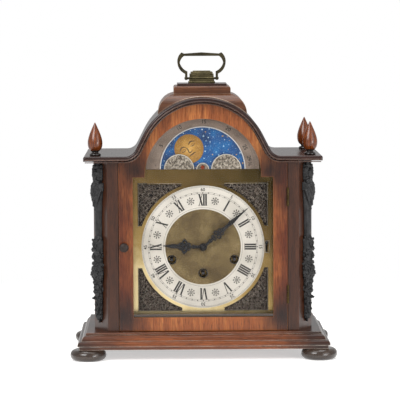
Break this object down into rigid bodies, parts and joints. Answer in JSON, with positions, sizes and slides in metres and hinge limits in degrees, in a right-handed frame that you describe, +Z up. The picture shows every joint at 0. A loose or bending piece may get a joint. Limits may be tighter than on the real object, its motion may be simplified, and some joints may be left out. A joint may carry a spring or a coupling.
{
  "type": "bracket clock",
  "caption": "Break-arch bracket clock with a glazed front door, a moon dial, winding squares, chime rods and a carrying handle.",
  "frame": {"origin": "middle of the clock on the shelf surface, under its box", "axes": "+X right as seen from the front, +Y to the back, +Z up"},
  "size_m": [0.351, 0.2076, 0.4009],
  "materials": {
    "walnut_case": "satin lacquered walnut",
    "walnut_door": "polished walnut veneer",
    "walnut_dark": "dark stained moulding with worn edges",
    "ebonised_feet": "dark polished turning",
    "cherry_turning": "polished orange-brown turning",
    "plywood": "plain plywood",
    "dark_cast": "blackened casting, dull",
    "bronze": "aged bronze",
    "door_glass": "clear sheet glass",
    "hinge_brass": "tarnished brass",
    "dial_brass": "satin brass sheet",
    "silvered_ring": "silvered and grained",
    "antique_relief": "antiqued relief casting",
    "pewter_plate": "engraved pewter",
    "painted_disc": "blue enamel disc",
    "blued_steel": "black-blue hands",
    "movement_brass": "lacquered brass",
    "steel": "bright steel",
    "chime_cast": "grey casting with bronze rods"
  },
  "bodies": {
    "case": {"bun_feet": "ebonised_feet", "base_plinth": "walnut_case", "case_floor": "plywood", "side_panel_left": "walnut_case", "side_panel_right": "walnut_case", "corner_post_left": "walnut_case", "corner_post_right": "walnut_case", "back_frame": "plywood", "roof_board": "walnut_dark", "caddy_top": "walnut_case", "caddy_plinth": "walnut_case", "handle_slab": "walnut_dark", "handle_saddle": "bronze", "handle_pins": "bronze", "finial_front_left": "cherry_turning", "finial_front_right": "cherry_turning", "finial_back_right": "cherry_turning", "corner_mount_left": "dark_cast", "corner_mount_right": "dark_cast", "case_hinge_pins": "hinge_brass", "dial_mask": "walnut_dark", "dial_plate": "dial_brass", "chapter_ring": "silvered_ring", "spandrels": "antique_relief", "hemispheres": "pewter_plate", "moon_stud": "dial_brass", "dial_posts": "dial_brass", "seat_board": "walnut_dark", "front_movement_plate": "movement_brass", "back_movement_plate": "movement_brass", "movement_pillars": "movement_brass", "chime_rods": "chime_cast"},
    "front_door": {"door_frame": "walnut_door", "door_glass": "door_glass", "glass_beads": "walnut_door", "door_knob": "ebonised_feet", "door_hinge_leaves": "hinge_brass"},
    "back_door": {"back_door": "plywood", "back_door_knob": "ebonised_feet", "back_door_leaves": "hinge_brass"},
    "handle": {"carry_handle": "bronze"},
    "minute": {"minute_hand": "blued_steel", "hand_nut": "blued_steel", "centre_arbor": "steel"},
    "hour": {"hour_hand": "blued_steel", "hour_wheel": "movement_brass"},
    "motion_wheel": {"minute_wheel": "movement_brass"},
    "moon": {"moon_disc": "painted_disc"},
    "lever": {"chime_lever": "blued_steel"},
    "strike_winding": {"strike_winding_arbor": "steel"},
    "time_winding": {"time_winding_arbor": "steel"},
    "chime_winding": {"chime_winding_arbor": "steel"},
    "strike_drum": {"strike_barrel": "movement_brass"},
    "time_drum": {"time_barrel": "movement_brass"},
    "chime_drum": {"chime_barrel": "movement_brass"},
    "balance": {"balance_wheel": "movement_brass"},
    "hammer_1": {"chime_hammer_1": "movement_brass"},
    "hammer_2": {"chime_hammer_2": "movement_brass"},
    "hammer_3": {"chime_hammer_3": "movement_brass"},
    "hammer_4": {"chime_hammer_4": "movement_brass"}
  },
  "joints": [
    {"name": "front_door_hinge", "type": "hinge", "parent": "case", "child": "front_door", "pos_m": [0.11105, -0.0747, 0.15], "axis": [0, 0, 1], "range_deg": [0, 105]},
    {"name": "back_door_hinge", "type": "hinge", "parent": "case", "child": "back_door", "pos_m": [0.09955, 0.0927, 0.15], "axis": [0, 0, -1], "range_deg": [0, 100]},
    {"name": "handle_swing", "type": "hinge", "parent": "case", "child": "handle", "pos_m": [0, 0.006, 0.3663], "axis": [1, 0, 0], "range_deg": [-88, 88]},
    {"name": "minute_turn", "type": "hinge", "parent": "case", "child": "minute", "pos_m": [0, -0.04, 0.1455], "axis": [0, 1, 0], "continuous": true},
    {"name": "motion_wheel_turn", "type": "hinge", "parent": "case", "child": "motion_wheel", "pos_m": [0.01, -0.04, 0.16282], "axis": [0, 1, 0], "continuous": true},
    {"name": "hour_turn", "type": "hinge", "parent": "case", "child": "hour", "pos_m": [0, -0.04, 0.1455], "axis": [0, 1, 0], "continuous": true},
    {"name": "moon_turn", "type": "hinge", "parent": "case", "child": "moon", "pos_m": [0, -0.05, 0.2484], "axis": [0, 1, 0], "continuous": true},
    {"name": "lever_slide", "type": "slide", "parent": "case", "child": "lever", "axis": [0, 0, 1], "range_m": [-0.009, 0]},
    {"name": "strike_winding_turn", "type": "hinge", "parent": "case", "child": "strike_winding", "pos_m": [-0.0415, -0.04, 0.1285], "axis": [0, 1, 0], "continuous": true},
    {"name": "time_winding_turn", "type": "hinge", "parent": "case", "child": "time_winding", "pos_m": [0, -0.04, 0.1105], "axis": [0, 1, 0], "continuous": true},
    {"name": "chime_winding_turn", "type": "hinge", "parent": "case", "child": "chime_winding", "pos_m": [0.0415, -0.04, 0.1285], "axis": [0, 1, 0], "continuous": true},
    {"name": "strike_drum_turn", "type": "hinge", "parent": "case", "child": "strike_drum", "pos_m": [-0.0415, -0.02, 0.1285], "axis": [0, 1, 0], "continuous": true},
    {"name": "time_drum_turn", "type": "hinge", "parent": "case", "child": "time_drum", "pos_m": [0, -0.02, 0.1105], "axis": [0, 1, 0], "continuous": true},
    {"name": "chime_drum_turn", "type": "hinge", "parent": "case", "child": "chime_drum", "pos_m": [0.0415, -0.02, 0.1285], "axis": [0, 1, 0], "continuous": true},
    {"name": "balance_swing", "type": "hinge", "parent": "case", "child": "balance", "pos_m": [0.034, 0.002, 0.176], "axis": [0, 1, 0], "range_deg": [-150, 150]},
    {"name": "hammer_1_swing", "type": "hinge", "parent": "case", "child": "hammer_1", "pos_m": [-0.05, 0.012, 0.12], "axis": [0, 1, 0], "range_deg": [0, 18]},
    {"name": "hammer_2_swing", "type": "hinge", "parent": "case", "child": "hammer_2", "pos_m": [-0.05, 0.022, 0.12], "axis": [0, 1, 0], "range_deg": [0, 18]},
    {"name": "hammer_3_swing", "type": "hinge", "parent": "case", "child": "hammer_3", "pos_m": [-0.05, 0.032, 0.12], "axis": [0, 1, 0], "range_deg": [0, 18]},
    {"name": "hammer_4_swing", "type": "hinge", "parent": "case", "child": "hammer_4", "pos_m": [-0.05, 0.042, 0.12], "axis": [0, 1, 0], "range_deg": [0, 18]}
  ],
  "couplings": [
    {"joint": "motion_wheel_turn", "follows": "minute_turn", "ratio": -0.33333},
    {"joint": "hour_turn", "follows": "minute_turn", "ratio": 0.083333},
    {"joint": "time_drum_turn", "follows": "minute_turn", "ratio": -0.125}
  ]
}
